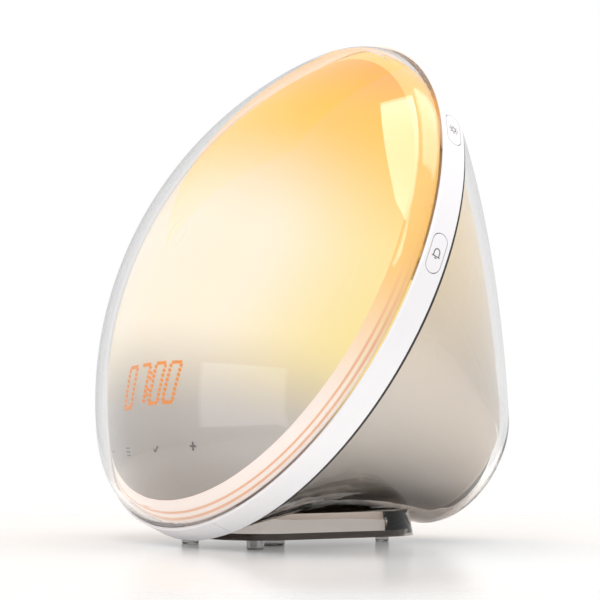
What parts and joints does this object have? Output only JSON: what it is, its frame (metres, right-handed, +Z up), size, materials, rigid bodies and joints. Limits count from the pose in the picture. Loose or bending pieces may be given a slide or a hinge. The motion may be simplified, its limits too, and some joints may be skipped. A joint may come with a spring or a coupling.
{
  "type": "sunrise alarm clock",
  "caption": "Bedside wake-up lamp with a round tilted lit face, a clock display behind it, side push buttons and a clear cone-like rear shell on small feet.",
  "frame": {"origin": "centre of the large round foot's underside, on the table", "axes": "+Z up, -Y towards the front of the face, +X to the right of someone who faces the clock"},
  "size_m": [0.192, 0.1461, 0.1804],
  "materials": {
    "clear": "gloss",
    "opal": "satin",
    "white": "gloss",
    "pearl": "satin",
    "dark": "matte",
    "grey_clear": "gloss",
    "grey": "satin",
    "black": "satin",
    "board": "satin",
    "foil": "satin",
    "lamp_light": "satin",
    "display_light": "satin",
    "metal": "satin",
    "steel": "brushed",
    "cone": "matte"
  },
  "bodies": {
    "clock": {"base_plate": "grey_clear", "board_screws": "steel", "button_strip_left": "foil", "button_strip_right": "foil", "carrier": "white", "centre_foot": "grey_clear", "dc_inlet": "black", "diffuser": "opal", "display_board": "board", "display_bracket": "white", "display_lights": "display_light", "front_cover": "clear", "front_foot_left": "grey_clear", "front_foot_right": "grey_clear", "heat_sink": "metal", "inner_bowl": "pearl", "lamp_board": "board", "lamp_lights": "lamp_light", "light_shelf": "white", "lower_switch_left": "black", "lower_switch_right": "black", "main_board": "board", "rear_foot": "grey_clear", "rear_panel": "grey", "rear_shell": "clear", "reflector": "white", "ring_bridge": "white", "seal_ring": "dark", "speaker_cone": "cone", "speaker_frame": "steel", "speaker_magnet": "steel", "touch_foil": "foil", "trim_ring": "white", "upper_switch_left": "black", "upper_switch_right": "black"},
    "lower_button_right": {"lower_button_right": "white"},
    "upper_button_right": {"upper_button_right": "white"},
    "lower_button_left": {"lower_button_left": "white"},
    "upper_button_left": {"upper_button_left": "white"}
  },
  "joints": [
    {"name": "lower_button_right_press", "type": "slide", "parent": "clock", "child": "lower_button_right", "axis": [-0.9945, -0.044, -0.0948], "range_m": [0, 0.0006], "stiffness_N_per_m": 1500},
    {"name": "upper_button_right_press", "type": "slide", "parent": "clock", "child": "upper_button_right", "axis": [-0.7986, -0.2532, -0.546], "range_m": [0, 0.0006], "stiffness_N_per_m": 1500},
    {"name": "lower_button_left_press", "type": "slide", "parent": "clock", "child": "lower_button_left", "axis": [0.9945, -0.044, -0.0948], "range_m": [0, 0.0006], "stiffness_N_per_m": 1500},
    {"name": "upper_button_left_press", "type": "slide", "parent": "clock", "child": "upper_button_left", "axis": [0.7986, -0.2532, -0.546], "range_m": [0, 0.0006], "stiffness_N_per_m": 1500}
  ]
}
